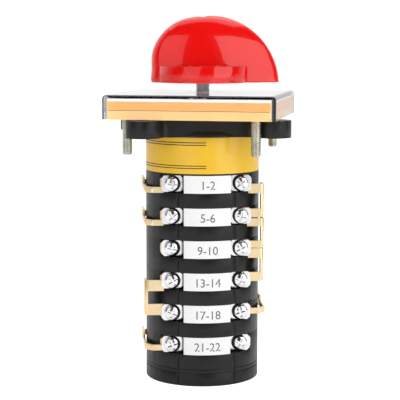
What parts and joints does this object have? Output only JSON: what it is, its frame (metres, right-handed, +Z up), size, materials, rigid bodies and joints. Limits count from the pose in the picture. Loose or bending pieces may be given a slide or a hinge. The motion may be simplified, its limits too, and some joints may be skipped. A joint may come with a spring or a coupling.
{
  "type": "rotary changeover switch",
  "caption": "Rotary manual transfer switch: stacked round contact stages with screw terminals, a square clear-covered front plate and a red pistol-grip knob.",
  "frame": {"origin": "centre of the flat rear face, on the shaft's axis", "axes": "+Z up the shaft from the rear cover to the knob; the stage labels face -Y; +X is to the right seen from the label side"},
  "size_m": [0.0776, 0.0776, 0.1386],
  "materials": {
    "black_plastic": "moulded, semi-matt",
    "red_plastic": "polished moulding",
    "amber_plastic": "moulded, satin",
    "pale_amber_plastic": "moulded, satin",
    "clear_acrylic": "clear, polished",
    "white_plastic": "satin",
    "yellow_label": "printed film",
    "white_label": "printed paper film",
    "brass": "stamped, bright",
    "bright_nickel": "bright nickel plate",
    "silver": "silver alloy",
    "zinc_steel": "zinc plate",
    "steel": "bright drawn",
    "natural_nylon": "moulded, natural"
  },
  "bodies": {
    "switch_body": {"rear_cover": "black_plastic", "stage_housing_1": "black_plastic", "stage_housing_2": "black_plastic", "stage_housing_3": "black_plastic", "stage_housing_4": "black_plastic", "stage_housing_5": "black_plastic", "stage_housing_6": "black_plastic", "mechanism_housing": "black_plastic", "mounting_flange": "black_plastic", "rating_label": "yellow_label", "stage_labels": "white_label", "tie_bolts": "zinc_steel", "tie_nuts": "zinc_steel", "front_terminal_plates": "brass", "rear_terminal_plates": "brass", "front_terminal_washers": "bright_nickel", "rear_terminal_washers": "bright_nickel", "front_terminal_screws": "bright_nickel", "rear_terminal_screws": "bright_nickel", "fixed_contact_tips": "silver", "link_right_1_2": "brass", "link_right_2_3": "brass", "link_right_3_4": "brass", "link_left_4_5": "brass", "strap_left_1": "brass", "strap_left_2": "brass", "strap_left_6": "brass", "strap_right_5": "brass", "detent_rollers": "steel", "detent_slides": "natural_nylon", "detent_springs": "steel", "front_contact_springs": "steel", "rear_contact_springs": "steel"},
    "rotor": {"shaft": "steel", "retaining_clip": "steel", "cam_1": "natural_nylon", "cam_2": "natural_nylon", "cam_3": "natural_nylon", "cam_4": "natural_nylon", "cam_5": "natural_nylon", "cam_6": "natural_nylon", "detent_wheel": "natural_nylon", "stop_plate": "natural_nylon", "knob": "red_plastic", "knob_screw": "zinc_steel"},
    "front_contacts": {"front_plungers": "natural_nylon", "front_contact_bridges": "brass", "front_bridge_tips": "silver"},
    "rear_contacts": {"rear_plungers": "natural_nylon", "rear_contact_bridges": "brass", "rear_bridge_tips": "silver"},
    "front_plate": {"clear_cover": "clear_acrylic", "dial_plate": "white_plastic", "upper_plate": "amber_plastic", "lower_plate": "pale_amber_plastic", "mounting_screws": "zinc_steel"}
  },
  "joints": [
    {"name": "handle_turn", "type": "hinge", "parent": "switch_body", "child": "rotor", "pos_m": [0, 0, 0.05], "axis": [0, 0, 1], "range_deg": [-60, 60]},
    {"name": "front_contact_slide", "type": "slide", "parent": "switch_body", "child": "front_contacts", "axis": [0, -1, 0], "range_m": [-0.0015, 0.0015]},
    {"name": "rear_contact_slide", "type": "slide", "parent": "switch_body", "child": "rear_contacts", "axis": [0, 1, 0], "range_m": [-0.0015, 0.0015]},
    {"name": "front_plate_turn", "type": "hinge", "parent": "switch_body", "child": "front_plate", "pos_m": [0, 0, 0.1], "axis": [0, 0, 1], "range_deg": [-58, 0]}
  ],
  "couplings": [
    {"joint": "front_contact_slide", "follows": "handle_turn", "m_per_rad": 0.0014323},
    {"joint": "rear_contact_slide", "follows": "handle_turn", "m_per_rad": -0.0014323}
  ]
}
